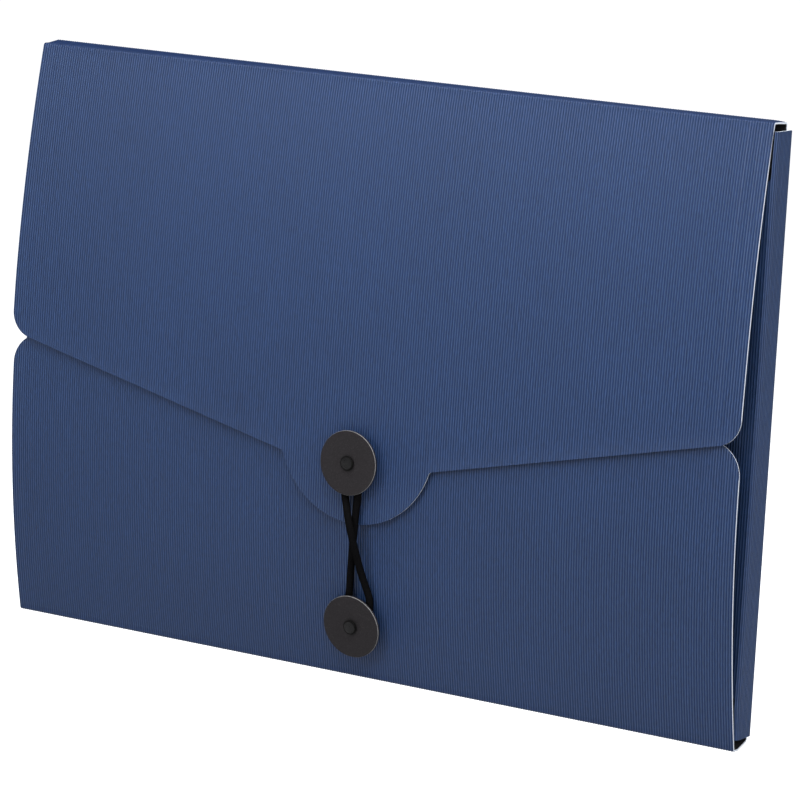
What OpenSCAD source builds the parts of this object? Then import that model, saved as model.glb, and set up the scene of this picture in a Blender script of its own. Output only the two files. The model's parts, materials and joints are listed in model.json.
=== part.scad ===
// Document folder of ribbed card with an elastic closure, standing upright and closed.
// X runs along the width, the flap faces -Y and +Z is up.
// The origin is the middle of the bottom spine's underside.

/* [Card] */
// Width of the flap, the front panel and the bottom spine
folder_w = 316; // [260:1:340]
// Height of the closed folder
folder_h = 223; // [212:0.5:232]
// Depth of both spines, crease to crease
spine_d = 10; // [9:0.5:14]
// Thickness of the card
card_t = 0.8; // [0.6:0.1:0.9]
// Gap between the flap's edge and a side wall
side_gap = 0.7; // [0.5:0.1:2]

/* [Bowed front] */
// How far the flap stands out in front of its crease
flap_bow = 12.2; // [12:0.1:14]
// How far the front panel stands out in front of its crease
front_bow = 10.5; // [9.5:0.1:10.5]
// Height at which both stand out furthest
bow_peak_z = 94; // [90:0.5:97]

/* [Flap] */
// How far the flap's sides draw in towards the top crease, each
flap_taper = 0.9; // [0:0.1:2]
// Height over which they draw in
flap_taper_h = 90; // [20:1:95]
// Height of the flap at its sides, down to where its slanting edge would end
flap_side_h = 110.8; // [105:0.1:115]
// Height of the flap at the point of its slanting edges
flap_point_h = 146.6; // [140:0.1:150]
// Radius of the flap's two lower corners
flap_corner_r = 10; // [4:0.5:14]
// Radius of the round tab
tab_r = 33.5; // [30:0.5:36]
// Distance of the tab's centre below the top crease
tab_centre_h = 129.5; // [127:0.5:132]
// Radius of the hollow corners where the tab meets the slanting edges
tab_fillet_r = 2; // [1:0.5:4]

/* [Front panel] */
// Height of the front panel
front_h = 111.5; // [108:0.5:116]
// Radius of the front panel's upper corners
front_corner_r = 12; // [8:0.5:20]

/* [Sides] */
// Depth of the side walls
wall_d = 12; // [11:0.5:12]
// Distance of the side walls' upper ends from the top spine's outer face
wall_top_gap = 3; // [2:0.5:6]
// Distance of their lower ends from the bottom spine's outer face
wall_bottom_gap = 4.5; // [2:0.5:6]
// Height over which the left wall's front corners slant back behind the flap and the front panel
left_slant_h = 30; // [25:1:40]
// Width of the tuck flaps
tuck_w = 40; // [25:1:60]
// Distance of the right tuck flap's ends from the spines' outer faces, at its crease
tuck_end_gap = 18; // [18:1:30]
// Radius of the tuck flaps' inner corners
tuck_corner_r = 8; // [4:1:12]

/* [Closure] */
// Distance of the tab and both buttons from the middle of the width, to the right
closure_x = 1.4; // [0:0.1:3]
// Diameter of the two buttons
button_d = 24; // [22:0.5:26]
// Thickness of a button
button_t = 1.2; // [0.8:0.1:1.4]
// Height of the upper button's centre
upper_button_z = 83.5; // [83:0.5:84]
// Height of the lower button's centre
lower_button_z = 21.5; // [21:0.5:22]
// Gap between the card and the back of a button, where the cord runs
cord_gap = 3.3; // [3.2:0.1:3.6]
// Diameter of a rivet's head
head_d = 5.5; // [5:0.1:8]
// Height of a rivet's domed head
head_h = 1; // [0.8:0.1:1.6]
// Diameter of the rivet's collar that the cord goes round
collar_d = 5; // [4:0.1:5]
// Diameter of the rivet's neck in the button
neck_d = 3.2; // [2.8:0.1:3.6]
// Diameter of the rivet's tail in the card
tail_d = 2.6; // [2:0.1:2.8]
// Diameter of the cap on the rivet's tail, inside the folder
cap_d = 8; // [6:0.5:10]
// Thickness of that cap
cap_t = 0.45; // [0.3:0.05:0.5]
// Diameter of the elastic cord
cord_d = 2.8; // [2:0.1:2.8]

/* [Hidden] */

blue_card = [0.22, 0.29, 0.43];
charcoal_board = [0.19, 0.19, 0.2];
black_metal = [0.06, 0.06, 0.07];
black_elastic = [0.02, 0.02, 0.02];

// Half of the scored groove that keeps two panels apart at a crease
groove = 0.05;
// Play of a button on its rivet's neck, and between its faces and the rivet
running_play = 0.05;
end_play = 0.15;
// Play of seated pieces that don't move
seat_play = 0.03;
// Overlap of solids that are joined
join = 0.1;
// More than any cut has to reach
reach = 400;

front_y = -spine_d / 2;
back_y = spine_d / 2;
wall_x = folder_w / 2 + side_gap + card_t;
wall_front_y = back_y - wall_d;

// Radius of an arc that stands out by bow at its peak, and starts at height run below or above it
function bow_radius(run, bow) = (run * run + bow * bow) / (2 * bow);
flap_arc_r = bow_radius(folder_h - bow_peak_z, flap_bow);
front_arc_r = bow_radius(bow_peak_z, front_bow);
// Outer face of a bowed panel at height z
function bowed_y(z, arc_r, bow) =
    front_y - bow + arc_r - sqrt(arc_r * arc_r - (z - bow_peak_z) * (z - bow_peak_z));

// Slanting edges of the flap
slant_point_z = folder_h - flap_point_h;
slant_slope = (flap_point_h - flap_side_h) / (folder_w / 2);
slant_length = sqrt(1 + slant_slope * slant_slope);
function slant_z(x) = slant_point_z + slant_slope * x;
corner_x = folder_w / 2 - flap_corner_r;
corner_z = slant_z(corner_x) + flap_corner_r * slant_length;
tab_z = folder_h - tab_centre_h;

// Direction that the slanting edge faces
slant_turn = -atan(1 / slant_slope);

// Way from the tab's centre to the centre of the hollow corner between the tab and the slanting edge
function fillet_way(tab_x) =
    let (drop = slant_z(tab_x) - tab_fillet_r * slant_length - tab_z,
         span = slant_length * (tab_r + tab_fillet_r),
         x = (-slant_slope * drop + sqrt(span * span - drop * drop)) / (slant_length * slant_length))
    [x, drop + slant_slope * x];

// Places of the two rivets on the bowed panels, and how far the lower one leans down
upper_y = bowed_y(upper_button_z, flap_arc_r, flap_bow);
lower_y = bowed_y(lower_button_z, front_arc_r, front_bow);
lower_lean = asin((bow_peak_z - lower_button_z) / front_arc_r);
neck_h = button_t + 2 * end_play;

// Closed route of the cord's middle, with X from the rivets' middle: up from the lower rivet on the left,
// over the tab's edge to the upper rivet's right side, round it, and down again across the first run to
// the lower rivet's right
cord_route = [
    [0, -10.1, 17], [-3.1, -10.3, 18.2], [-4.3, -10.8, 21.2], [-4.1, -11.3, 24], [-3.2, -12, 27.9],
    [-2, -12.9, 32.3], [-1.5, -13.5, 35.5], [-1, -14.2, 39.5], [-0.4, -15, 44], [0.2, -15.8, 48.5],
    [1, -16.8, 53.2], [1.8, -17.7, 57.8], [2.2, -18.1, 62.3], [2.8, -18.5, 67.5], [3.4, -18.8, 72.5],
    [4, -18.8, 77.5], [4.3, -18.8, 83.5], [3.1, -18.8, 86.6], [0, -18.8, 87.8], [-3.1, -18.8, 86.6],
    [-4.3, -18.8, 83.5], [-3.6, -18.8, 77.5], [-2.4, -18.8, 71.5], [-0.8, -19.7, 67], [0.9, -20.7, 62.5],
    [2.2, -20.8, 58.3], [2.9, -19.7, 54], [3.5, -18.3, 49.5], [4.1, -16.7, 45], [4.8, -15.1, 40.5],
    [5.8, -13.8, 36.5], [6.9, -12.9, 32.5], [6.8, -12.2, 28.5], [6, -11.5, 24.8], [4.9, -10.9, 21.5],
    [3.1, -10.3, 18.2]];
cord_sides = 8;

// Extrudes a shape drawn in Y and Z along the width, centred
module across(width) {
    translate([-width / 2, 0, 0]) rotate([90, 0, 90]) linear_extrude(width) children();
}

// Extrudes a shape drawn in X and Z through the folder's front, clear of its back
module through_front() {
    rotate([90, 0, 0]) linear_extrude(reach / 4) children();
}

// Turns a piece drawn along +Z so that it stands on a bowed panel, facing out
module on_panel(y, z, lean) {
    translate([closure_x, y, z]) rotate([90 + lean, 0, 0]) children();
}

// Sheet bent to an arc across the folder's height
module bowed_sheet(arc_r, bow) {
    translate([-folder_w / 2, front_y - bow + arc_r, bow_peak_z]) rotate([0, 90, 0]) difference() {
        cylinder(r = arc_r, h = folder_w, $fn = 360);
        translate([0, 0, -1]) cylinder(r = arc_r - card_t, h = folder_w + 2, $fn = 360);
    }
}

// Flat strip in Y and Z, mitred at both ends, from one crease to the other
module mitred_strip(length) {
    polygon([[groove, 0], [length - groove, 0],
             [length - card_t - groove, card_t], [card_t + groove, card_t]]);
}

module spine(width) {
    across(width) translate([front_y, 0]) mitred_strip(spine_d);
}

module bottom_spine() {
    color(blue_card) spine(folder_w);
}

module top_spine() {
    color(blue_card) translate([0, 0, folder_h]) mirror([0, 0, 1]) spine(folder_w - 2 * flap_taper);
}

// Outline of the back panel: as wide as the side walls where they are, and as its spines at both ends
module back_outline() {
    half_w = folder_w / 2;
    half_h = folder_h / 2;
    translate([-half_w, 0]) square([folder_w, half_h]);
    translate([flap_taper - half_w, half_h]) square([folder_w - 2 * flap_taper, half_h]);
    translate([-wall_x, wall_bottom_gap]) square([2 * wall_x, folder_h - wall_bottom_gap - wall_top_gap]);
}

module back_panel() {
    color(blue_card) intersection() {
        across(2 * wall_x) translate([back_y, 0]) rotate(90) mitred_strip(folder_h);
        linear_extrude(folder_h) translate([wall_x, back_y]) rotate(180) mitred_strip(2 * wall_x);
        rotate([90, 0, 0]) linear_extrude(reach, center = true) back_outline();
    }
}

// Points along an arc, from one angle to the other
function arc(centre, r, from, to, steps) =
    [for (i = [0:steps])
        let (turn = from + (to - from) * i / steps)
        centre + r * [cos(turn), sin(turn)]];

// Half of the flap's edge, from the top crease down to the middle of a tab at tab_x
function flap_half(tab_x) =
    let (way = fillet_way(tab_x),
         tab_centre = [tab_x, tab_z],
         tab_turn = atan2(way.y, way.x))
    concat(
        [[folder_w / 2 - flap_taper, folder_h], [folder_w / 2, folder_h - flap_taper_h]],
        arc([corner_x, corner_z], flap_corner_r, 0, slant_turn, 12),
        arc(tab_centre + way, tab_fillet_r, slant_turn + 180, tab_turn + 180, 6),
        arc(tab_centre, tab_r, tab_turn, -90, 24));

module flap_outline() {
    left = flap_half(-closure_x);
    polygon(concat(flap_half(closure_x), [for (i = [len(left) - 2:-1:0]) [-left[i].x, left[i].y]]));
}

module closing_flap() {
    crease_z = folder_h - 2 * groove;
    below_mitre = [[-reach, -reach], [reach, -reach], [reach, crease_z - reach + front_y],
                   [front_y, crease_z], [-reach, crease_z]];
    color(blue_card) difference() {
        intersection() {
            bowed_sheet(flap_arc_r, flap_bow);
            through_front() flap_outline();
            across(folder_w + 2) polygon(below_mitre);
        }
        on_panel(upper_y, upper_button_z, 0) rivet_hole();
    }
}

module front_outline() {
    inner_x = folder_w / 2 - front_corner_r;
    inner_z = front_h - front_corner_r;
    translate([-folder_w / 2, 0]) square([folder_w, inner_z]);
    translate([-inner_x, inner_z]) square([2 * inner_x, front_corner_r]);
    for (side = [-1, 1]) translate([side * inner_x, inner_z]) circle(front_corner_r, $fn = 96);
}

module front_panel() {
    crease_z = 2 * groove;
    above_mitre = [[-reach, 2 * reach], [reach, 2 * reach], [reach, crease_z + reach - front_y],
                   [front_y, crease_z], [-reach, crease_z]];
    color(blue_card) difference() {
        intersection() {
            bowed_sheet(front_arc_r, front_bow);
            through_front() front_outline();
            across(folder_w + 2) polygon(above_mitre);
        }
        on_panel(lower_y, lower_button_z, lower_lean) rivet_hole();
    }
}

// Wall on the right, with square ends
module square_wall() {
    translate([0, 0, wall_bottom_gap]) linear_extrude(folder_h - wall_bottom_gap - wall_top_gap)
        translate([wall_x, wall_front_y]) rotate(90) mitred_strip(wall_d);
}

// The same wall with its front corners cut back to the middle of its spines
module slanted_wall() {
    low_z = wall_bottom_gap;
    high_z = folder_h - wall_top_gap;
    intersection() {
        square_wall();
        across(3 * wall_x) polygon([[back_y, low_z], [0, low_z], [wall_front_y, left_slant_h],
                                    [wall_front_y, folder_h - left_slant_h], [0, high_z], [back_y, high_z]]);
    }
}

// Tuck flap on the right, its ends at end_gap from the spines' outer faces
module tuck(end_gap) {
    inner_x = wall_x - tuck_w;
    taper_z = end_gap + tuck_w;
    round_x = inner_x + tuck_corner_r;
    round_z = taper_z + tuck_corner_r * tan(22.5);
    round_normal = tuck_corner_r * [cos(45), sin(45)];
    intersection() {
        linear_extrude(folder_h) translate([wall_x, wall_front_y]) mirror([1, 0])
            mitred_strip(2 * tuck_w);
        through_front() {
            for (low = [true, false]) translate([0, low ? 0 : folder_h]) mirror([0, low ? 0 : 1]) {
                polygon([[wall_x, end_gap], [wall_x, folder_h / 2], [inner_x, folder_h / 2],
                         [inner_x, round_z], [round_x - round_normal.x, round_z - round_normal.y]]);
                translate([round_x, round_z]) circle(tuck_corner_r, $fn = 64);
            }
        }
    }
}

module right_side_wall() {
    color(blue_card) square_wall();
}

module left_side_wall() {
    color(blue_card) mirror([1, 0, 0]) slanted_wall();
}

module right_tuck_flap() {
    color(blue_card) tuck(tuck_end_gap);
}

module left_tuck_flap() {
    color(blue_card) mirror([1, 0, 0]) tuck(left_slant_h);
}

module rivet_hole() {
    translate([0, 0, -3 * card_t]) cylinder(d = tail_d + 2 * seat_play, h = 6 * card_t, $fn = 48);
}

// Button with eased rims, turning on the rivet's neck
module button() {
    ease = button_t / 8;
    outer_r = button_d / 2;
    bore_r = neck_d / 2 + running_play;
    translate([0, 0, cord_gap + end_play]) rotate_extrude($fn = 120)
        polygon([[bore_r, 0], [outer_r - ease, 0], [outer_r, ease], [outer_r, button_t - ease],
                 [outer_r - ease, button_t], [bore_r, button_t]]);
}

// Domed head, neck, collar and tail in one piece
module rivet() {
    dome_r = bow_radius(head_d / 2, head_h);
    head_z = cord_gap + neck_h;
    translate([0, 0, seat_play]) cylinder(d = collar_d, h = cord_gap - seat_play, $fn = 64);
    translate([0, 0, cord_gap - join]) cylinder(d = neck_d, h = neck_h + 2 * join, $fn = 64);
    translate([0, 0, -card_t - 2 * seat_play - cap_t])
        cylinder(d = tail_d, h = card_t + cap_t + 4 * seat_play, $fn = 48);
    intersection() {
        translate([0, 0, head_z]) cylinder(d = head_d, h = head_h, $fn = 64);
        translate([0, 0, head_z + head_h - dome_r]) sphere(r = dome_r, $fn = 96);
    }
}

// Flat cap on the rivet's tail, against the inner face of the card
module rivet_cap() {
    translate([0, 0, -card_t - 2 * seat_play - cap_t]) difference() {
        cylinder(d = cap_d, h = cap_t, $fn = 64);
        translate([0, 0, -1]) cylinder(d = tail_d + seat_play, h = cap_t + 2, $fn = 48);
    }
}

module upper_button() {
    color(charcoal_board) on_panel(upper_y, upper_button_z, 0) button();
}

module upper_rivet() {
    color(black_metal) on_panel(upper_y, upper_button_z, 0) rivet();
}

module upper_rivet_cap() {
    color(black_metal) on_panel(upper_y, upper_button_z, 0) rivet_cap();
}

module lower_button() {
    color(charcoal_board) on_panel(lower_y, lower_button_z, lower_lean) button();
}

module lower_rivet() {
    color(black_metal) on_panel(lower_y, lower_button_z, lower_lean) rivet();
}

module lower_rivet_cap() {
    color(black_metal) on_panel(lower_y, lower_button_z, lower_lean) rivet_cap();
}

// Ring of points round the cord's middle at one point of its route
function cord_ring(i) =
    let (count = len(cord_route),
         along = cord_route[(i + 1) % count] - cord_route[(i + count - 1) % count],
         tangent = along / norm(along),
         across_route = cross(tangent, [0, 1, 0]),
         side = across_route / norm(across_route),
         up = cross(side, tangent))
    [for (k = [0:cord_sides - 1])
        let (turn = 360 * k / cord_sides)
        [closure_x, 0, 0] + cord_route[i] + cord_d / 2 * (cos(turn) * side + sin(turn) * up)];

module elastic_cord() {
    count = len(cord_route);
    points = [for (i = [0:count - 1]) each cord_ring(i)];
    function corner(i, k) = (i % count) * cord_sides + k % cord_sides;
    faces = [for (i = [0:count - 1], k = [0:cord_sides - 1])
        each [[corner(i, k), corner(i + 1, k), corner(i + 1, k + 1)],
              [corner(i, k), corner(i + 1, k + 1), corner(i, k + 1)]]];
    color(black_elastic) polyhedron(points, faces);
}

bottom_spine();
back_panel();
top_spine();
closing_flap();
front_panel();
left_side_wall();
right_side_wall();
left_tuck_flap();
right_tuck_flap();
upper_button();
upper_rivet();
upper_rivet_cap();
lower_button();
lower_rivet();
lower_rivet_cap();
elastic_cord();
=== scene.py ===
"""Looks of the elastic closure folder: ribbed card with rounded folds, board buttons, rivets and cord.

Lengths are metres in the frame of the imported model: X along the width, the flap faces -Y, +Z is up.
"""
import json
import math

import bpy
import numpy as np
from mathutils import Matrix, Vector


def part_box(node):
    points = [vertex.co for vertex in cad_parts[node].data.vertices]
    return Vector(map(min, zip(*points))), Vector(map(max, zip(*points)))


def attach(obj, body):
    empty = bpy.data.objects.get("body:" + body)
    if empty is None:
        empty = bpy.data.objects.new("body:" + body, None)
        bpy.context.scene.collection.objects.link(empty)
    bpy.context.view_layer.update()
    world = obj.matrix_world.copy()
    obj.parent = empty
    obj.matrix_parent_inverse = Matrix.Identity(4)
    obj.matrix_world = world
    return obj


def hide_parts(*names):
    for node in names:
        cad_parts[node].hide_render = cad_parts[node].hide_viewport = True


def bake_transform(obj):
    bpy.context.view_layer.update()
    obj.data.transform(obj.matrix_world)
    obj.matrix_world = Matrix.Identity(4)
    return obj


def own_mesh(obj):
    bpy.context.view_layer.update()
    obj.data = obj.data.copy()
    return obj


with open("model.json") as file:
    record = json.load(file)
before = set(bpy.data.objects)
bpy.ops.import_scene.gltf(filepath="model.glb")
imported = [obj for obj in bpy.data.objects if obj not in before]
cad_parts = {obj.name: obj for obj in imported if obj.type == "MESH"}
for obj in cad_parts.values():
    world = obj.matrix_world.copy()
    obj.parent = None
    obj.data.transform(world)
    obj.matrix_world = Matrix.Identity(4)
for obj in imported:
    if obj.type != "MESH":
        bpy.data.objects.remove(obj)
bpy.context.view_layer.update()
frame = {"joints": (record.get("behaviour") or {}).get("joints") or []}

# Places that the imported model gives
CREASE = {joint["name"]: Vector(joint["pos_m"]) for joint in frame["joints"]}
CLOSURE_X = CREASE["upper_button_spin"].x
FRONT_Y = CREASE["front_crease"].y
BACK_Y = CREASE["back_crease"].y
TOP_Z = CREASE["top_crease"].z
WALL_X = CREASE["right_wall_crease"].x
WALL_FRONT_Y = CREASE["right_tuck_crease"].y
HALF_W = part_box("bottom_spine")[1].x
TOP_HALF_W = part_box("top_spine")[1].x
WALL_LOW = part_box("right_side_wall")[0].z
WALL_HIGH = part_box("right_side_wall")[1].z
FRONT_TOP_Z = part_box("front_panel")[1].z
TUCK_INNER_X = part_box("right_tuck_flap")[0].x

# Card: a pale core between two facing papers, the outer one ribbed.
# WRAP_T is how much of a wrapped cut edge that one covers.
CARD_T = 0.0008
PAPER_T = 0.00012
WRAP_T = 0.00036
RIB_PITCH = 0.00104
RIB_DEPTH = 0.0002
RIB_STEPS = 4
SHARP_ANGLE = math.radians(40)

# Share of painted shade on the spines: their paper is darkened as in the rib hollows
SPINE_SHADE = 0.85

# Cut edges: the ribs level out there, and along those that run with the ribs the paper is paler, partly
# wear and partly a painted highlight
EDGE_DROP = 0.00008
EDGE_STRIP = 0.00022
EDGE_WEAR_AND_HIGHLIGHT = 0.4

# Columns of points across the ribs: the least gap between two, and the digits that tell them apart
COLUMN_GAP = RIB_PITCH / 40
PLACE_DIGITS = 6

# Folds: the ones at the tuck flaps are drawn out along the walls.
SPINE_FOLD_R = 0.001
WALL_FOLD_R = 0.0009
TUCK_FOLD_R = 0.00125
TUCK_FOLD_STRETCH = 2.3
FOLD_REACH = 0.003
TUCK_FOLD_REACH = 0.0013
FOLD_ARC_STEPS = 6
FOLD_FLAT_STEPS = 3

# How far the spines' back edges rise or sink: the top one rises to the left and sinks at its right end,
# the bottom one rises at its right end
TOP_LEFT_RISE = 0.001
TOP_LEVEL_X = 0.110
TOP_RIGHT_SINK = 0.0004
BOTTOM_RIGHT_RISE = 0.0022
TOP_SINK_REACH = 0.005
BOTTOM_RISE_REACH = 0.012

# How far the side walls' fronts are drawn back at their ends, and over which height
LOW_DRAW_IN = 0.0016
HIGH_DRAW_IN = 0.0007
DRAW_IN_H = 0.012

# Bowed front. EDGE_ROW is the share of the way to the cut edge at which a panel has one more row.
BOW_PEAK_Z = 0.094
FLAP_BOW = 0.0122
FRONT_BOW = 0.0105
FLAP_ROWS = 18
FRONT_ROWS = 16
EDGE_ROW = 0.9985

# Outlines
FLAP_TAPER_H = 0.090
FLAP_SIDE_H = 0.1108
FLAP_POINT_H = 0.1466
FLAP_CORNER_R = 0.010
TAB_R = 0.0335
TAB_CENTRE_H = 0.1295
TAB_FILLET_R = 0.002
FRONT_CORNER_R = 0.012
RIGHT_TUCK_END = 0.018
LEFT_TUCK_END = 0.030
TUCK_CORNER_R = 0.008
CORNER_STEPS = 14

# Closure, along the direction that a button faces. HEAD_SLOPE is the slope of a head's dome at its edge,
# in degrees.
UPPER_BUTTON_Z = 0.0835
LOWER_BUTTON_Z = 0.0215
BUTTON_R = 0.012
BUTTON_T = 0.0012
BUTTON_EASE = 0.00022
BUTTON_HIGHLIGHT_T = 0.0002
BUTTON_BORE_R = 0.00165
CORD_GAP = 0.0033
END_PLAY = 0.00015
HEAD_R = 0.00275
HEAD_H = 0.001
HEAD_EDGE_R = 0.00025
HEAD_SLOPE = 12
BUTTON_DISH_R = 1.6 * HEAD_R
BUTTON_DISH_STEP_R = 1.1 * HEAD_R
NECK_R = 0.0016
COLLAR_R = 0.0025
CAP_R = 0.004
CAP_T = 0.00045
TAIL_R = 0.0013
TAIL_CROWN_R = 0.7 * TAIL_R
TAIL_FOOT_R = 1.15 * TAIL_R
SEAT_PLAY = 0.00003
LATHE_SEGMENTS = 72
EASE_STEPS = 4
HEAD_EDGE_STEPS = 5
DOME_STEPS = 8

# Elastic cord: a closed loop round both rivets, with X from their middle.
CORD_R = 0.0014
CORD_ROUTE = [
    (0, -0.0101, 0.017), (-0.0031, -0.0103, 0.0182), (-0.0043, -0.0108, 0.0212),
    (-0.0041, -0.0113, 0.024), (-0.0032, -0.012, 0.0279), (-0.002, -0.0129, 0.0323),
    (-0.0015, -0.0135, 0.0355), (-0.001, -0.0142, 0.0395), (-0.0004, -0.015, 0.044),
    (0.0002, -0.0158, 0.0485), (0.001, -0.0168, 0.0532), (0.0018, -0.0177, 0.0578),
    (0.0022, -0.0181, 0.0623), (0.0028, -0.0185, 0.0675), (0.0034, -0.0188, 0.0725),
    (0.004, -0.0188, 0.0775), (0.0043, -0.0188, 0.0835), (0.0031, -0.0188, 0.0866),
    (0, -0.0188, 0.0878), (-0.0031, -0.0188, 0.0866), (-0.0043, -0.0188, 0.0835),
    (-0.0036, -0.0188, 0.0775), (-0.0024, -0.0188, 0.0715), (-0.0008, -0.0197, 0.067),
    (0.0009, -0.0207, 0.0625), (0.0022, -0.0208, 0.0583), (0.0029, -0.0197, 0.054),
    (0.0035, -0.0183, 0.0495), (0.0041, -0.0167, 0.045), (0.0048, -0.0151, 0.0405),
    (0.0058, -0.0138, 0.0365), (0.0069, -0.0129, 0.0325), (0.0068, -0.0122, 0.0285),
    (0.006, -0.0115, 0.0248), (0.0049, -0.0109, 0.0215), (0.0031, -0.0103, 0.0182),
]
CORD_SIDES = 36
CORD_STEP = 0.00024
CURVE_STEPS = 24
BRAID_STRANDS = 6
BRAID_PERIOD = 0.0011
BRAID_DEPTH = 0.00007

# Studio: the floor glows a little, so that it is as white as the photograph's.
# Each light has an azimuth and an elevation in degrees, a distance, a size and a power.
FLOOR_HALF = 15.0
FLOOR_GLOW = 0.85
SKY_STRENGTH = 0.55
LIGHTS = {
    "key_light": (-22, 20, 1.6, 0.35, 17),
    "top_light": (14, 60, 0.6, 0.6, 15),
    "side_light": (80, 20, 1.2, 0.6, 16),
}

# Camera that took the photograph
CAMERA_LENS = 180
CAMERA_SENSOR = 36
CAMERA_AZIMUTH = math.radians(31.7)
CAMERA_ELEVATION = math.radians(9.63)
CAMERA_ROLL = math.radians(3.1)
CAMERA_DISTANCE = 1.4804
CAMERA_TARGET = Vector((0.005935, 0.005, 0.104486))


def add_camera():
    """Camera at the photograph's place, turned about its own axis by the photograph's tilt."""
    across = Vector((math.cos(CAMERA_AZIMUTH), math.sin(CAMERA_AZIMUTH), 0))
    ahead = Vector((-math.sin(CAMERA_AZIMUTH) * math.cos(CAMERA_ELEVATION),
                    math.cos(CAMERA_AZIMUTH) * math.cos(CAMERA_ELEVATION),
                    -math.sin(CAMERA_ELEVATION)))
    level = Matrix((across, across.cross(ahead), -ahead)).transposed()
    data = bpy.data.cameras.new("camera")
    data.lens = CAMERA_LENS
    data.sensor_width = CAMERA_SENSOR
    camera = bpy.data.objects.new("camera", data)
    turned = level @ Matrix.Rotation(CAMERA_ROLL, 3, "Z")
    camera.matrix_world = Matrix.Translation(CAMERA_TARGET - ahead * CAMERA_DISTANCE) @ turned.to_4x4()
    bpy.context.scene.collection.objects.link(camera)
    bpy.context.scene.camera = camera


def add_area_light(name, azimuth, elevation, distance, size, power):
    """Square soft light that looks at the middle of the folder."""
    data = bpy.data.lights.new(name, "AREA")
    data.shape = "SQUARE"
    data.size = size
    data.energy = power
    a, e = math.radians(azimuth), math.radians(elevation)
    back = Vector((math.sin(a) * math.cos(e), -math.cos(a) * math.cos(e), math.sin(e)))
    light = bpy.data.objects.new(name, data)
    light.location = CAMERA_TARGET + back * distance
    light.rotation_mode = "QUATERNION"
    light.rotation_quaternion = (-back).to_track_quat("-Z", "Y")
    bpy.context.scene.collection.objects.link(light)


def new_material(name, roughness, specular):
    material = bpy.data.materials.new(name)
    material.use_nodes = True
    shader = material.node_tree.nodes["Principled BSDF"]
    shader.inputs["Roughness"].default_value = roughness
    shader.inputs["Specular IOR Level"].default_value = specular
    return material, material.node_tree, shader


def add_noise(tree, scale, detail=2.0, stretch=(1, 1, 1)):
    """Noise in the piece's own coordinates. Its Fac output is returned."""
    place = tree.nodes.new("ShaderNodeTexCoord")
    mapping = tree.nodes.new("ShaderNodeMapping")
    mapping.inputs["Scale"].default_value = stretch
    noise = tree.nodes.new("ShaderNodeTexNoise")
    noise.inputs["Scale"].default_value = scale
    noise.inputs["Detail"].default_value = detail
    tree.links.new(place.outputs["Object"], mapping.inputs["Vector"])
    tree.links.new(mapping.outputs["Vector"], noise.inputs["Vector"])
    return noise.outputs["Fac"]


def add_ramp(tree, factor, stops):
    """Colour ramp over a factor, from (place, colour) stops."""
    ramp = tree.nodes.new("ShaderNodeValToRGB")
    elements = ramp.color_ramp.elements
    elements[0].position, elements[0].color = stops[0][0], (*stops[0][1], 1)
    elements[1].position, elements[1].color = stops[-1][0], (*stops[-1][1], 1)
    for place, colour in stops[1:-1]:
        elements.new(place).color = (*colour, 1)
    tree.links.new(factor, ramp.inputs["Fac"])
    return ramp.outputs["Color"]


def add_mix(tree, kind, factor, first, second):
    """Colour mix of two sockets or colours by a socket or a number."""
    mix = tree.nodes.new("ShaderNodeMix")
    mix.data_type = "RGBA"
    mix.blend_type = kind
    for socket_name, value in (("Factor", factor), ("A", first), ("B", second)):
        socket = mix.inputs[socket_name]
        if isinstance(value, bpy.types.NodeSocket):
            tree.links.new(value, socket)
        elif isinstance(value, tuple):
            socket.default_value = (*value, 1)
        else:
            socket.default_value = value
    return next(output for output in mix.outputs if output.type == "RGBA" and output.enabled)


def add_bump(tree, shader, height, strength, distance):
    bump = tree.nodes.new("ShaderNodeBump")
    bump.inputs["Strength"].default_value = strength
    bump.inputs["Distance"].default_value = distance
    tree.links.new(height, bump.inputs["Height"])
    tree.links.new(bump.outputs["Normal"], shader.inputs["Normal"])


def add_attribute(tree, name):
    attribute = tree.nodes.new("ShaderNodeAttribute")
    attribute.attribute_name = name
    return attribute.outputs["Fac"]


def mottled(name, roughness, specular, grain, stops, bump=None):
    """Material with a mottled colour. grain holds a noise's scale and detail.

    bump holds another noise's scale and detail, and the bump's strength and depth.
    """
    material, tree, shader = new_material(name, roughness, specular)
    tree.links.new(add_ramp(tree, add_noise(tree, *grain), stops), shader.inputs["Base Color"])
    if bump:
        scale, detail, strength, depth = bump
        add_bump(tree, shader, add_noise(tree, scale, detail), strength, depth)
    return material


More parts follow.
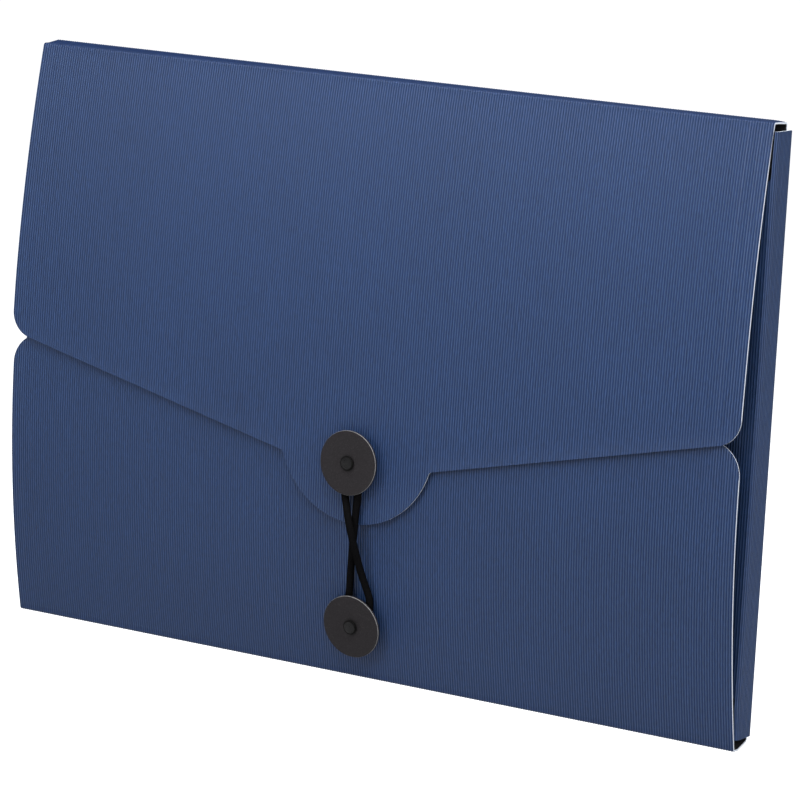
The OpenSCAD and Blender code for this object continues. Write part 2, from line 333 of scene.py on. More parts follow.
def ribbed_card():
    """Blue ribbed paper: fibres, faint clouds, a sheen on the ribs, painted shade in the hollows and on the
    spines, and pale wear with a painted highlight at cut sides.
    """
    material, tree, shader = new_material("ribbed_card", roughness=0.58, specular=0.21)
    fibres = add_ramp(tree, add_noise(tree, 1900, 2.0, (1, 1, 0.25)),
                      [(0.3, (0.0022, 0.0118, 0.0380)), (0.7, (0.0046, 0.0186, 0.0565))])
    clouds = add_ramp(tree, add_noise(tree, 22, 2.0),
                      [(0.35, (0.94, 0.94, 0.94)), (0.65, (1.0, 1.0, 1.0))])
    blue = add_mix(tree, "MULTIPLY", 1.0, fibres, clouds)
    rib_shade = add_attribute(tree, "rib_shade")
    # Painted shade from rib_shade: the rib hollows, and the spines wholly, get a darker colour and reflect
    # less
    hollow = add_ramp(tree, rib_shade, [(0.0, (1, 1, 1)), (1.0, (0.34, 0.43, 0.58))])
    blue = add_mix(tree, "MULTIPLY", 1.0, blue, hollow)
    sheen = add_ramp(tree, rib_shade, [(0.0, (0.33, 0.33, 0.33)), (1.0, (0.07, 0.07, 0.07))])
    tree.links.new(sheen, shader.inputs["Specular IOR Level"])
    # Paler paper along the cut sides that run with the ribs: wear and a painted highlight
    pale_wear_and_highlight = add_mix(tree, "MIX", add_attribute(tree, "wear_and_highlight"), blue, (0.25, 0.28, 0.36))
    tree.links.new(pale_wear_and_highlight, shader.inputs["Base Color"])
    add_bump(tree, shader, add_noise(tree, 2600, 2.0, (1, 1, 0.4)), 0.25, 0.00004)
    return material


def pale_floor():
    material = mottled("pale_floor", roughness=0.9, specular=0.1, grain=(3, 2.0),
                       stops=[(0.3, (0.29, 0.29, 0.29)), (0.7, (0.31, 0.31, 0.31))])
    shader = material.node_tree.nodes["Principled BSDF"]
    shader.inputs["Emission Color"].default_value = (1, 1, 1, 1)
    shader.inputs["Emission Strength"].default_value = FLOOR_GLOW
    return material


# Card: ribbed paper outside, a pale grey core that shows on cut edges, and smooth near-black paper inside
PAPER_SLOT, CORE_SLOT, LINING_SLOT = range(3)
CARD_MATERIALS = [
    ribbed_card(),
    mottled("card_core", roughness=0.8, specular=0.2, grain=(1800, 3.0),
            stops=[(0.3, (0.23, 0.25, 0.285)), (0.7, (0.305, 0.325, 0.36))],
            bump=(4000, 2.0, 0.4, 0.00004)),
    mottled("black_lining", roughness=0.75, specular=0.1, grain=(900, 3.0),
            stops=[(0.3, (0.007, 0.007, 0.008)), (0.7, (0.013, 0.013, 0.014))],
            bump=(2200, 2.0, 0.2, 0.00004)),
]

# Buttons: matte charcoal board with lighter and darker fibres, and a painted highlight along the front edge
# of its rim
FACE_SLOT, RIM_HIGHLIGHT_SLOT = range(2)
BOARD_MATERIALS = [
    mottled("charcoal_board", roughness=0.75, specular=0.115, grain=(1800, 4.0),
            stops=[(0.3, (0.0024, 0.0018, 0.0024)), (0.55, (0.0041, 0.0034, 0.0041)),
                   (0.75, (0.0105, 0.0097, 0.0105))],
            bump=(3200, 3.0, 0.35, 0.00005)),
    mottled("board_rim_highlight", roughness=0.85, specular=0.2, grain=(2600, 3.0),
            stops=[(0.3, (0.045, 0.045, 0.046)), (0.7, (0.11, 0.11, 0.112))]),
]

# Rivets: black lacquered metal with a soft gloss; the shank and the head's side and rim are a darker matte
# black, painted shade round the head
GLOSS_SLOT, MATTE_SHADE_SLOT = range(2)
RIVET_MATERIALS = [
    mottled("black_rivet", roughness=0.2, specular=0.08, grain=(700, 2.0),
            stops=[(0.3, (0.002, 0.002, 0.0022)), (0.7, (0.004, 0.004, 0.0043))],
            bump=(1800, 2.0, 0.12, 0.00003)),
    mottled("black_shank_and_shade", roughness=0.8, specular=0.03, grain=(900, 2.0),
            stops=[(0.3, (0.001, 0.001, 0.001)), (0.7, (0.002, 0.002, 0.002))]),
]

# Cord: black braided textile over rubber
ELASTIC_MATERIALS = [
    mottled("black_elastic", roughness=0.85, specular=0.0, grain=(3000, 2.0),
            stops=[(0.3, (0.0009, 0.0009, 0.001)), (0.7, (0.0026, 0.0026, 0.0028))],
            bump=(5200, 2.0, 0.3, 0.00004)),
]


def new_piece(name, points, faces, materials, face_slots=None):
    """Mesh object with smooth shading that breaks at sharp edges."""
    mesh = bpy.data.meshes.new(name)
    mesh.from_pydata([tuple(p) for p in points], [], faces)
    for material in materials:
        mesh.materials.append(material)
    if face_slots is not None:
        mesh.polygons.foreach_set("material_index", np.asarray(face_slots, np.int32))
    mesh.polygons.foreach_set("use_smooth", np.ones(len(mesh.polygons), bool))
    mesh.set_sharp_from_angle(angle=SHARP_ANGLE)
    piece = bpy.data.objects.new(name, mesh)
    bpy.context.scene.collection.objects.link(piece)
    return piece


def set_attribute(piece, name, values):
    attribute = piece.data.attributes.new(name, "FLOAT", "POINT")
    attribute.data.foreach_set("value", np.asarray(values, np.float32))


def rib_hollow(across):
    """0 on the crest of a rib and 1 in the hollow between two, by the distance across the ribs."""
    return 0.5 - 0.5 * np.cos(2 * np.pi * np.asarray(across) / RIB_PITCH)


def grid_quads(numbers):
    """Point numbers round each field of a grid of points."""
    corners = [numbers[:-1, :-1], numbers[1:, :-1], numbers[1:, 1:], numbers[:-1, 1:]]
    return np.stack(corners, -1).reshape(-1, 4)


def sheet(name, outer, normal, across, cuts, wrapped=(), painted_shade=0):
    """Closed piece of card. outer and normal hold its outer face, a column for each place across the ribs.

    cuts names the sides that are cut edges and not seams: low and high along the ribs, first and last
    across. On the wrapped ones the outer paper is pressed over part of the core. Its last argument is
    painted shade: it darkens the paper as in the rib hollows, and may differ along the ribs.
    """
    columns, rows = outer.shape[:2]
    hollow = np.repeat(rib_hollow(across)[:, None], rows, 1)
    drop = RIB_DEPTH * hollow
    wear_and_highlight = np.zeros((columns, rows))
    places = {"low": np.s_[:, 0], "high": np.s_[:, -1], "first": np.s_[0, :], "last": np.s_[-1, :]}
    for side, place in places.items():
        if side in cuts:
            drop[place] = EDGE_DROP
            # Wear and a painted highlight on the sides that run with the ribs
            wear_and_highlight[place] = EDGE_WEAR_AND_HIGHLIGHT if side in ("first", "last") else 0
    ring = ([(i, 0) for i in range(columns)] + [(columns - 1, j) for j in range(1, rows)]
            + [(i, rows - 1) for i in range(columns - 2, -1, -1)]
            + [(0, j) for j in range(rows - 2, 0, -1)])
    ring_i, ring_j = np.array(ring).T
    ring_sides = np.repeat(["low", "last", "high", "first"], [columns - 1, rows - 1] * 2)
    paper = np.where(np.isin(ring_sides, wrapped), WRAP_T, PAPER_T)[:, None]
    grid = np.arange(columns * rows).reshape(columns, rows)
    layers = [outer - normal * drop[..., None], outer - normal * CARD_T]
    rims = [outer[ring_i, ring_j] - normal[ring_i, ring_j] * depth for depth in (paper, CARD_T - PAPER_T)]
    points = np.concatenate([layer.reshape(-1, 3) for layer in layers] + rims)
    inner = grid + columns * rows
    rim_numbers = 2 * columns * rows + np.arange(2 * len(ring)).reshape(2, -1)
    loops = [grid[ring_i, ring_j], *rim_numbers, inner[ring_i, ring_j]]
    quads = [grid_quads(grid), grid_quads(inner)[:, [0, 3, 2, 1]]]
    slots = [np.full(len(quads[0]), PAPER_SLOT), np.full(len(quads[1]), LINING_SLOT)]
    core_slots = np.where(np.isin(ring_sides, cuts), CORE_SLOT, LINING_SLOT)
    rim_slots = [np.full(len(ring), PAPER_SLOT), core_slots, np.full(len(ring), LINING_SLOT)]
    for above, below, loop_slots in zip(loops[:-1], loops[1:], rim_slots):
        quads.append(np.stack([np.roll(above, -1), above, below, np.roll(below, -1)], -1))
        slots.append(loop_slots)
    faces = np.concatenate(quads)
    step_i, step_j = outer[1, 0] - outer[0, 0], outer[0, 1] - outer[0, 0]
    if np.dot(np.cross(step_i, step_j), normal[0, 0]) < 0:
        faces = faces[:, ::-1]
    piece = new_piece(name, points, faces.tolist(), CARD_MATERIALS, np.concatenate(slots))
    rest = np.zeros(len(points) - columns * rows)
    # Painted shade: full in the rib hollows, and spread over the crests on the spines
    shade = hollow + (1 - hollow) * painted_shade
    set_attribute(piece, "rib_shade", np.concatenate([shade.ravel(), rest]))
    set_attribute(piece, "wear_and_highlight", np.concatenate([wear_and_highlight.ravel(), rest]))
    return piece


def spread(start, end, step):
    """Evenly spaced places from start to end, at most step apart."""
    return np.linspace(start, end, max(2, math.ceil(abs(end - start) / step) + 1))


def with_edge_row(count):
    """Shares of the way along a rib, with one more row close to the last."""
    return np.append(np.linspace(0, 1, count + 1)[:-1], [EDGE_ROW, 1.0])


def sheet_columns():
    """Places across the spines, flap and front panel, with more of them at the round corners."""
    ribs = np.arange(0, HALF_W, RIB_PITCH / RIB_STEPS)
    turn = np.linspace(0, np.pi / 2, CORNER_STEPS)
    extra = [HALF_W - r * (1 - np.cos(turn)) for r in (FLAP_CORNER_R, FRONT_CORNER_R)]
    half = np.concatenate([ribs, *extra, [HALF_W, HALF_W - EDGE_STRIP]])
    half = np.unique(np.round(half, PLACE_DIGITS))
    half = half[np.append(np.diff(half) > COLUMN_GAP, True)]
    return np.concatenate([-half[:0:-1], half])


class Bow:
    """Outer face of a panel that is bent to an arc across the folder's height."""

    def __init__(self, crease_z, depth):
        run = crease_z - BOW_PEAK_Z
        self.radius = (run**2 + depth**2) / (2 * depth)
        self.centre_y = FRONT_Y - depth + self.radius

    def normal(self, z):
        """Y and Z of the outward normal at a height."""
        rise = (np.asarray(z) - BOW_PEAK_Z) / self.radius
        return -np.sqrt(1 - rise**2), rise

    def y(self, z):
        return self.centre_y + self.radius * self.normal(z)[0]


FLAP_ARC = Bow(TOP_Z, FLAP_BOW)
FRONT_ARC = Bow(0, FRONT_BOW)
COLUMNS = sheet_columns()


def fold_line(corner, toward, away, radius, reach_in, reach_out, flat_step=None):
    """Outer line of a rounded fold and its normals: along toward to the corner, round it and along away."""
    corner, toward, away = (np.array(v, float) for v in (corner, toward, away))
    turn = math.acos(float(np.clip(toward @ away, -1, 1)))
    side = toward * (toward @ away) - away
    side /= np.linalg.norm(side)
    tangent = radius * math.tan(turn / 2)
    arc_start = corner - toward * tangent
    arc_steps = math.ceil(2 * radius * turn / flat_step) if flat_step else FOLD_ARC_STEPS
    angles = np.linspace(0, turn, arc_steps + 1)
    normals = np.cos(angles)[:, None] * side + np.sin(angles)[:, None] * toward
    arc = arc_start - side * radius + radius * normals
    steps_in, steps_out = FOLD_FLAT_STEPS, FOLD_FLAT_STEPS
    if flat_step:
        steps_in = max(1, math.ceil((reach_in - tangent) / flat_step))
        steps_out = max(1, math.ceil((reach_out - tangent) / flat_step))
    flat_in = corner - toward * np.linspace(reach_in, tangent, steps_in + 1)[:-1, None]
    flat_out = corner + away * np.linspace(tangent, reach_out, steps_out + 1)[1:, None]
    points = np.concatenate([flat_in, arc, flat_out])
    normals = np.concatenate([np.repeat(normals[:1], len(flat_in), 0), normals,
                              np.repeat(normals[-1:], len(flat_out), 0)])
    return points, normals


def across_width(line, half_w=HALF_W):
    """Grid of points from a line in Y and Z, repeated at every column. half_w may differ along the line."""
    grid = np.zeros((len(COLUMNS), len(line), 3))
    grid[:, :, 0] = COLUMNS[:, None] * np.broadcast_to(half_w, len(line)) / HALF_W
    grid[:, :, 1:] = line
    return grid


def along_height(line, low, high):
    """Grid of points from a line in X and Y, each drawn up from its lower to its upper end."""
    heights = [low, low + EDGE_STRIP, low + DRAW_IN_H, high - DRAW_IN_H, high - EDGE_STRIP, high]
    grid = np.zeros((len(line), len(heights), 3))
    grid[:, :, :2] = line[:, None]
    grid[:, :, 2] = np.stack(heights, -1)
    return grid


def draw_in(grid):
    """Draws the front of a side wall back at its ends."""
    share = np.clip(grid[:, :, 1] / WALL_FRONT_Y, 0, 1)
    grid[:, :2, 1] += LOW_DRAW_IN * share[:, :2]
    grid[:, -2:, 1] += HIGH_DRAW_IN * share[:, -2:]


def flat_normals(grid, direction):
    return np.broadcast_to(np.array(direction, float), grid.shape).copy()


def top_rise(x):
    """How far the top spine's back edge is above its crease at the flap."""
    left = np.clip((TOP_LEVEL_X - x) / (TOP_LEVEL_X + HALF_W), 0, None)
    right = np.clip((x - TOP_HALF_W) / TOP_SINK_REACH + 1, 0, None)
    return TOP_LEFT_RISE * left - TOP_RIGHT_SINK * right**2


def bottom_rise(x):
    return BOTTOM_RIGHT_RISE * np.clip((x - HALF_W) / BOTTOM_RISE_REACH + 1, 0, None)**2


def lift_back(grid, rise):
    """Lifts a spine's or its back fold's points, more towards the back."""
    start = FRONT_Y + FOLD_REACH
    grid[..., 2] += rise(grid[..., 0]) * np.clip((grid[..., 1] - start) / (BACK_Y - start), 0, 1)


def flap_half_w(z):
    """Half of the flap's width at a height: it draws in to the top spine's."""
    return TOP_HALF_W + (HALF_W - TOP_HALF_W) * np.clip((TOP_Z - z) / FLAP_TAPER_H, 0, 1)


def full_half_w(z):
    return np.full(np.shape(z), HALF_W)


def spine_fold(name, corner, toward, away, rise, shade_ends, start_half_w=HALF_W, end_half_w=HALF_W,
               arc=None):
    """Fold between a spine and its neighbour, round its crease. It ends on a bowed neighbour's arc.

    The pair after rise gives the share of painted shade at both ends.
    """
    line, normals = fold_line(corner, toward, away, SPINE_FOLD_R, FOLD_REACH, FOLD_REACH)
    if arc:
        line[-1, 0] = arc.y(line[-1, 1])
    outer = across_width(line, np.linspace(start_half_w, end_half_w, len(line)))
    lift_back(outer, rise)
    normal = across_width(normals)
    normal[:, :, 0] = 0
    piece = sheet(name, outer, normal, COLUMNS, ("first", "last"), painted_shade=np.linspace(*shade_ends, len(line)))
    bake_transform(piece)


def spine(name, body, node, z, up, half_w, rise):
    line = np.array([(y, z) for y in (FRONT_Y + FOLD_REACH, BACK_Y - FOLD_REACH)])
    outer = across_width(line, half_w)
    lift_back(outer, rise)
    normal = flat_normals(outer, (0, 0, up))
    # Painted shade over the whole spine
    piece = sheet(name, outer, normal, COLUMNS, ("first", "last"), painted_shade=SPINE_SHADE)
    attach(piece, body)
    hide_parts(node)


def flap_edge(x):
    """Height of the flap's lower edge: round corner, slanting edge, hollow corner and round tab."""
    tab_x = math.copysign(CLOSURE_X, x) if x else CLOSURE_X
    x = abs(x)
    slope = (FLAP_POINT_H - FLAP_SIDE_H) / HALF_W
    length = math.hypot(1, slope)
    point_z = TOP_Z - FLAP_POINT_H
    corner_x = HALF_W - FLAP_CORNER_R
    corner_z = point_z + slope * corner_x + FLAP_CORNER_R * length
    if x > corner_x + FLAP_CORNER_R * slope / length:
        return corner_z - math.sqrt(max(0, FLAP_CORNER_R**2 - (x - corner_x)**2))
    tab_z = TOP_Z - TAB_CENTRE_H
    drop = point_z + slope * tab_x - TAB_FILLET_R * length - tab_z
    reach = TAB_R + TAB_FILLET_R
    way_x = (-slope * drop + math.sqrt((length * reach)**2 - drop**2)) / length**2
    fillet_x = tab_x + way_x
    fillet_z = tab_z + drop + slope * way_x
    if x > fillet_x - TAB_FILLET_R * slope / length:
        return point_z + slope * x
    if x > tab_x + way_x * TAB_R / reach:
        return fillet_z + math.sqrt(max(0, TAB_FILLET_R**2 - (x - fillet_x)**2))
    return tab_z - math.sqrt(TAB_R**2 - (x - tab_x)**2)


def front_edge(x):
    """Height of the front panel's upper edge, with its round corners."""
    past = max(0, abs(x) - (HALF_W - FRONT_CORNER_R))
    return FRONT_TOP_Z - FRONT_CORNER_R + math.sqrt(max(0, FRONT_CORNER_R**2 - past**2))


def bowed_panel(name, body, node, arc, seam_z, edge, half_w, rows):
    """Bowed panel from its fold's seam to its cut edge."""
    ends = np.array([edge(x) for x in COLUMNS])
    share = with_edge_row(rows)
    z = seam_z * (1 - share) + ends[:, None] * share
    outer = np.stack([COLUMNS[:, None] * half_w(z) / HALF_W, arc.y(z), z], -1)
    normal = np.stack([np.zeros_like(z), *arc.normal(z)], -1)
    piece = sheet(name, outer, normal, COLUMNS, ("high", "first", "last"), wrapped=("high",))
    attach(piece, body)
    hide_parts(node)


def back_panel():
    ribs = COLUMNS
    low, high = FOLD_REACH, TOP_Z - FOLD_REACH
    line = np.array([(x, BACK_Y) for x in ribs])
    outer = along_height(line, low + bottom_rise(ribs), high + top_rise(ribs))
    piece = sheet("back_panel_card", outer, flat_normals(outer, (0, 1, 0)), ribs, ())
    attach(piece, "back")
    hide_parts("back_panel")


def distances(line):
    """Distance of each point from the first, along the line."""
    return np.append(0, np.cumsum(np.linalg.norm(np.diff(line, axis=0), axis=1)))


def tuck_end(x, crease_end):
    """Height of a tuck flap's lower end, tapered by 45 degrees from its crease to a round corner."""
    taper_z = crease_end + WALL_X - x
    round_x = TUCK_INNER_X + TUCK_CORNER_R
    round_z = crease_end + WALL_X - TUCK_INNER_X + TUCK_CORNER_R * math.tan(math.pi / 8)
    if x >= round_x - TUCK_CORNER_R * math.cos(math.pi / 4):
        return taper_z
    return round_z - math.sqrt(max(0, TUCK_CORNER_R**2 - (x - round_x)**2))


def side_pieces(side, sign, tuck_crease_end, front_low, front_high):
    """Side wall and tuck flap with their two folds, on the right for a sign of 1 and on the left for -1.

    From the middle of the spines to the front, the wall's ends slant to front_low and front_high.
    """
    mirror = np.array([sign, 1])
    step = RIB_PITCH / RIB_STEPS
    wall, tuck = f"{side}_wall", f"{side}_tuck"

    def place(name, line, normals, across, low, high, cuts, drawn_in=True):
        outer = along_height(line * mirror, low, high)
        if drawn_in:
            draw_in(outer)
        normal = np.zeros_like(outer)
        normal[:, :, :2] = (normals * mirror)[:, None]
        return sheet(name, outer, normal, across, cuts)

    def wall_ends(line):
        slant = np.clip(line[:, 1] / WALL_FRONT_Y, 0, 1)
        return WALL_LOW + (front_low - WALL_LOW) * slant, WALL_HIGH + (front_high - WALL_HIGH) * slant

    def bend(piece):
        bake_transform(piece)

    # Fold between the back panel and the wall
    corner, toward, away = (WALL_X, BACK_Y), (1, 0), (0, -1)
    line, normals = fold_line(corner, toward, away, WALL_FOLD_R, WALL_X - HALF_W, FOLD_REACH, step)
    across = HALF_W + distances(line)
    piece = place(f"{wall}_fold", line, normals, across, *wall_ends(line), ("low", "high"))
    bend(piece)

    # Side wall
    start = across[-1]
    y = spread(BACK_Y - FOLD_REACH, WALL_FRONT_Y + FOLD_REACH, step)
    line = np.stack([np.full(len(y), WALL_X), y], -1)
    across = start + distances(line)
    normals = np.tile((1.0, 0.0), (len(y), 1))
    piece = place(f"{side}_side_wall_card", line, normals, across, *wall_ends(line), ("low", "high"))
    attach(piece, wall)
    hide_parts(f"{side}_side_wall")

    # Fold between the wall and the tuck flap
    corner, toward, away = (WALL_X, WALL_FRONT_Y), (0, -1), (-1, 0)
    start = across[-1]
    reach_in = FOLD_REACH / TUCK_FOLD_STRETCH
    line, normals = fold_line(corner, toward, away, TUCK_FOLD_R, reach_in, TUCK_FOLD_REACH, step)
    line[:, 1] = WALL_FRONT_Y + (line[:, 1] - WALL_FRONT_Y) * TUCK_FOLD_STRETCH
    normals[:, 1] /= TUCK_FOLD_STRETCH
    normals /= np.linalg.norm(normals, axis=1)[:, None]
    across = start + distances(line)
    piece = place(f"{tuck}_fold", line, normals, across, *wall_ends(line), ("low", "high"))
    bend(piece)

    # Tuck flap
    start = across[-1]
    turn = np.linspace(0, np.pi / 2, CORNER_STEPS)
    x = np.concatenate([spread(WALL_X - TUCK_FOLD_REACH, TUCK_INNER_X, step),
                        TUCK_INNER_X + TUCK_CORNER_R * (1 - np.cos(turn)), [TUCK_INNER_X + EDGE_STRIP]])
    x = np.unique(np.round(x, PLACE_DIGITS))[::-1]
    line = np.stack([x, np.full(len(x), WALL_FRONT_Y)], -1)
    across = start + distances(line)
    low = np.array([tuck_end(v, tuck_crease_end) for v in x])
    normals = np.tile((0.0, -1.0), (len(x), 1))
    piece = place(f"{side}_tuck_flap_card", line, normals, across, low, TOP_Z - low,
                  ("low", "high", "last"), drawn_in=False)
    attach(piece, tuck)
    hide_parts(f"{side}_tuck_flap")


def arc_points(centre, radius, start, end, steps):
    """Points of an arc in a turned profile, angles in degrees."""
    turns = np.radians(np.linspace(start, end, steps + 1))
    return [(centre[0] + radius * math.cos(t), centre[1] + radius * math.sin(t)) for t in turns]


def turned(name, profile, place, materials, slots=None, ring=False):
    """Solid turned about its own Z axis from (radius, height) points. A ring's profile closes on itself."""
    turns = 2 * np.pi * np.arange(LATHE_SEGMENTS) / LATHE_SEGMENTS
    points, starts = [], []
    for radius, height in profile:
        starts.append((len(points), 1 if radius == 0 else LATHE_SEGMENTS))
        points += [(radius * math.cos(t), radius * math.sin(t), height) for t in turns[:starts[-1][1]]]
    spans = list(zip(starts, starts[1:] + starts[:1])) if ring else list(zip(starts, starts[1:]))
    faces, face_slots = [], []
    for index, ((low, low_count), (high, high_count)) in enumerate(spans):
        for k in range(LATHE_SEGMENTS):
            n = (k + 1) % LATHE_SEGMENTS
            corners = [low + k % low_count, low + n % low_count,
                       high + n % high_count, high + k % high_count]
            faces.append(list(dict.fromkeys(corners)))
            face_slots.append(slots[index] if slots else 0)
    placed = [place @ Vector(p) for p in points]
    return new_piece(name, placed, faces, materials, face_slots)


def button(name, place, body):
    """Board disc with eased rims and a painted highlight on its front edge, a little hollow round its bore.
    """
    low = CORD_GAP + END_PLAY
    high = low + BUTTON_T
    rim = BUTTON_R - BUTTON_EASE
    back = ([(BUTTON_BORE_R, low), (rim - BUTTON_EASE, low)]
            + arc_points((rim, low + BUTTON_EASE), BUTTON_EASE, -90, 0, EASE_STEPS))
    front = ([(BUTTON_R, high - BUTTON_EASE - BUTTON_HIGHLIGHT_T)]
             + arc_points((rim, high - BUTTON_EASE), BUTTON_EASE, 0, 90, EASE_STEPS)
             + [(rim - BUTTON_EASE, high), (BUTTON_DISH_R, high), (BUTTON_DISH_STEP_R, high - END_PLAY / 3),
                (BUTTON_BORE_R, high - END_PLAY / 2)])
    # The painted highlight takes a strip of the side and half of the eased rim
    pale = 1 + EASE_STEPS // 2
    slots = [FACE_SLOT] * len(back) + [RIM_HIGHLIGHT_SLOT] * pale + [FACE_SLOT] * (len(front) - pale)
    piece = turned(name, back + front, place, BOARD_MATERIALS, slots, ring=True)
    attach(piece, body)
    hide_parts(body)


def rivet(name, place, body, node):
    """Rivet with a low domed head, the neck in the button and the collar that the cord goes round."""
    head_low = CORD_GAP + BUTTON_T + 2 * END_PLAY
    slope = math.radians(HEAD_SLOPE)
    edge_x = HEAD_R - HEAD_EDGE_R
    dome_x = edge_x + HEAD_EDGE_R * math.sin(slope)
    dome_r = dome_x / math.sin(slope)
    crown = HEAD_H - dome_x * math.tan(slope / 2) - HEAD_EDGE_R * math.cos(slope)
    shank = [(0, -CARD_T), (TAIL_R, -CARD_T), (TAIL_R, SEAT_PLAY), (COLLAR_R, SEAT_PLAY),
             (COLLAR_R, CORD_GAP), (NECK_R, CORD_GAP), (NECK_R, head_low),
             (HEAD_R - HEAD_EDGE_R / 4, head_low), (HEAD_R, head_low + HEAD_EDGE_R / 4)]
    edge = arc_points((edge_x, head_low + crown), HEAD_EDGE_R, 0, 90 - HEAD_SLOPE, HEAD_EDGE_STEPS)
    dome = arc_points((0, head_low + HEAD_H - dome_r), dome_r, 90 - HEAD_SLOPE, 90, DOME_STEPS)[1:-1]
    top = dome + [(0, head_low + HEAD_H)]
    # The head's side and rounded rim take the darker matte black: painted shade round the head
    slots = [MATTE_SHADE_SLOT] * len(shank + edge) + [GLOSS_SLOT] * len(top)
    piece = turned(name, shank + edge + top, place, RIVET_MATERIALS, slots)
    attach(piece, body)
    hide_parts(node)


def rivet_cap(name, place, body, node):
    """Flat cap on the rivet's tail inside the folder, with the spread tail in its middle."""
    outer = -CARD_T - 2 * SEAT_PLAY
    low = outer - CAP_T
    ease = CAP_T / 3
    profile = ([(0, low - ease / 2), (TAIL_CROWN_R, low - ease / 3), (TAIL_R, low + ease / 2),
                (TAIL_FOOT_R, low)]
               + arc_points((CAP_R - ease, low + ease), ease, -90, 0, EASE_STEPS)
               + [(CAP_R, outer), (0, outer)])
    piece = turned(name, profile, place, RIVET_MATERIALS)
    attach(piece, body)
    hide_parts(node)


def on_panel(arc, z, lean):
    """Place of a closure on a bowed panel, its Z axis pointing out and leaning down."""
    return Matrix.Translation((CLOSURE_X, float(arc.y(z)), z)) @ Matrix.Rotation(math.pi / 2 + lean, 4, "X")


def closed_curve(points, step):
    """Even points, about a step apart, on a smooth closed curve through the given ones, and its length."""
    p = np.array(points, float)
    before, after, past = np.roll(p, 1, 0), np.roll(p, -1, 0), np.roll(p, -2, 0)
    t = np.linspace(0, 1, CURVE_STEPS, endpoint=False)[:, None, None]
    fine = 0.5 * (2 * p + (after - before) * t + (2 * before - 5 * p + 4 * after - past) * t**2
                  + (3 * p - before - 3 * after + past) * t**3)
    fine = fine.transpose(1, 0, 2).reshape(-1, 3)
    fine = np.vstack([fine, fine[:1]])
    along = distances(fine)
    length = along[-1]
    places = np.linspace(0, length, round(length / step), endpoint=False)
    return np.stack([np.interp(places, along, fine[:, k]) for k in range(3)], -1), length


def carried_frames(path):
    """Two directions across a closed path at each of its points, carried along with the least twist."""
    tangent = np.roll(path, -1, 0) - np.roll(path, 1, 0)
    tangent /= np.linalg.norm(tangent, axis=1)[:, None]
    side = np.cross(tangent[0], (0, 1, 0))
    sides = []
    for direction in tangent:
        side = side - direction * (side @ direction)
        side = side / np.linalg.norm(side)
        sides.append(side)
    sides = np.array(sides)
    back = sides[-1] - tangent[0] * (sides[-1] @ tangent[0])
    gap = math.atan2(float(np.cross(back, sides[0]) @ tangent[0]), float(back @ sides[0]))
    turn = gap * np.arange(len(path)) / len(path)
    ups = np.cross(tangent, sides)
    even = np.cos(turn)[:, None] * sides + np.sin(turn)[:, None] * ups
    return even, np.cross(tangent, even)


def elastic_cord():
    """Braided elastic loop."""
    route = np.array(CORD_ROUTE) + (CLOSURE_X, 0, 0)
    path, length = closed_curve(route, CORD_STEP)
    count = len(path)
    side, up = carried_frames(path)
    turn = 2 * np.pi * np.arange(CORD_SIDES) / CORD_SIDES
    waves = round(length / BRAID_PERIOD)
    lengthwise = 2 * np.pi * waves * np.arange(count) / count
    braid = np.cos(BRAID_STRANDS * turn)[None] * np.cos(lengthwise)[:, None]
    radius = CORD_R - BRAID_DEPTH * (0.5 - 0.5 * braid)
    points = path[:, None] + radius[..., None] * (np.cos(turn)[None, :, None] * side[:, None]
                                                  + np.sin(turn)[None, :, None] * up[:, None])
    grid = np.arange(count * CORD_SIDES).reshape(count, CORD_SIDES)
    onward, around = np.roll(grid, -1, 0), np.roll(grid, -1, 1)
    both = np.roll(onward, -1, 1)
    faces = np.stack([grid, around, both, onward], -1).reshape(-1, 4)
    piece = new_piece("elastic_loop", points.reshape(-1, 3), faces.tolist(), ELASTIC_MATERIALS)
    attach(piece, "front")
    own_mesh(piece)
    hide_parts("elastic_cord")


def floor():
    corners = [(FLOOR_HALF * x, FLOOR_HALF * y, 0) for x, y in ((-1, -1), (1, -1), (1, 1), (-1, 1))]
    piece = new_piece("floor", corners, [(0, 1, 2, 3)], [pale_floor()])


def studio():
    """White surroundings with soft lights in front, close above and at the right."""
    world = bpy.data.worlds.new("studio")
    world.use_nodes = True
    background = world.node_tree.nodes["Background"]
    background.inputs["Color"].default_value = (1, 1, 1, 1)
    background.inputs["Strength"].default_value = SKY_STRENGTH
    bpy.context.scene.world = world
    bpy.context.scene.view_settings.view_transform = "Standard"
    for name, values in LIGHTS.items():
        add_area_light(name, *values)


LOWER_LEAN = math.asin((BOW_PEAK_Z - LOWER_BUTTON_Z) / FRONT_ARC.radius)
UPPER_PLACE = on_panel(FLAP_ARC, UPPER_BUTTON_Z, 0)
LOWER_PLACE = on_panel(FRONT_ARC, LOWER_BUTTON_Z, LOWER_LEAN)

add_camera()
elastic_cord()

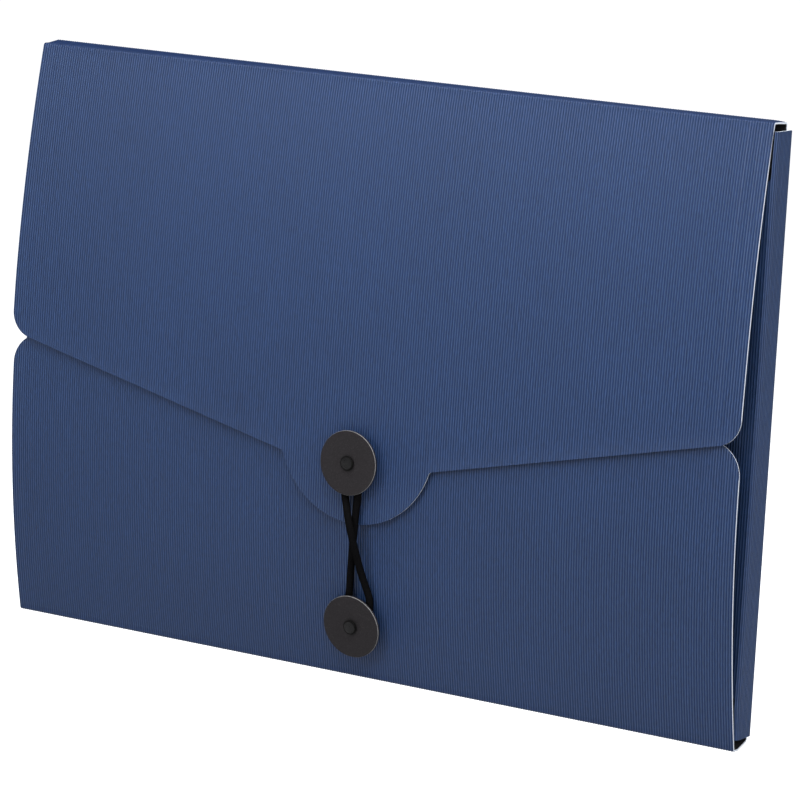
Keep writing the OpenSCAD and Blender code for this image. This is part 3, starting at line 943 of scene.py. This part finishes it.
FLAP_NORMAL = [float(v) for v in FLAP_ARC.normal(TOP_Z)]
FRONT_NORMAL = [float(v) for v in FRONT_ARC.normal(0)]
# The spines, and the spine ends of their folds, get painted shade
spine("bottom_spine_card", "base", "bottom_spine", 0, -1, HALF_W, bottom_rise)
spine("top_spine_card", "top", "top_spine", TOP_Z, 1, TOP_HALF_W, top_rise)
spine_fold("bottom_front_fold", (FRONT_Y, 0), (-1, 0),
           (FRONT_NORMAL[1], -FRONT_NORMAL[0]), bottom_rise, (SPINE_SHADE, 0), arc=FRONT_ARC)
spine_fold("bottom_back_fold", (BACK_Y, 0), (1, 0), (0, 1), bottom_rise, (SPINE_SHADE, 0))
spine_fold("top_back_fold", (BACK_Y, TOP_Z), (0, 1), (-1, 0), top_rise, (0, SPINE_SHADE),
           TOP_HALF_W, TOP_HALF_W)
FLAP_SEAM_Z = TOP_Z + FOLD_REACH * FLAP_NORMAL[0]
spine_fold("top_front_fold", (FRONT_Y, TOP_Z), (-1, 0), (-FLAP_NORMAL[1], FLAP_NORMAL[0]),
           top_rise, (SPINE_SHADE, 0), TOP_HALF_W, float(flap_half_w(FLAP_SEAM_Z)), FLAP_ARC)
back_panel()
bowed_panel("closing_flap_card", "flap", "closing_flap", FLAP_ARC, FLAP_SEAM_Z,
            flap_edge, flap_half_w, FLAP_ROWS)
bowed_panel("front_panel_card", "front", "front_panel", FRONT_ARC, -FOLD_REACH * FRONT_NORMAL[0],
            front_edge, full_half_w, FRONT_ROWS)
side_pieces("right", 1, RIGHT_TUCK_END, WALL_LOW, WALL_HIGH)
side_pieces("left", -1, LEFT_TUCK_END, LEFT_TUCK_END, TOP_Z - LEFT_TUCK_END)

for level, place, panel in (("upper", UPPER_PLACE, "flap"), ("lower", LOWER_PLACE, "front")):
    button(f"{level}_button_disc", place, f"{level}_button")
    rivet(f"{level}_rivet_body", place, panel, f"{level}_rivet")
    rivet_cap(f"{level}_rivet_back_cap", place, panel, f"{level}_rivet_cap")

floor()
studio()
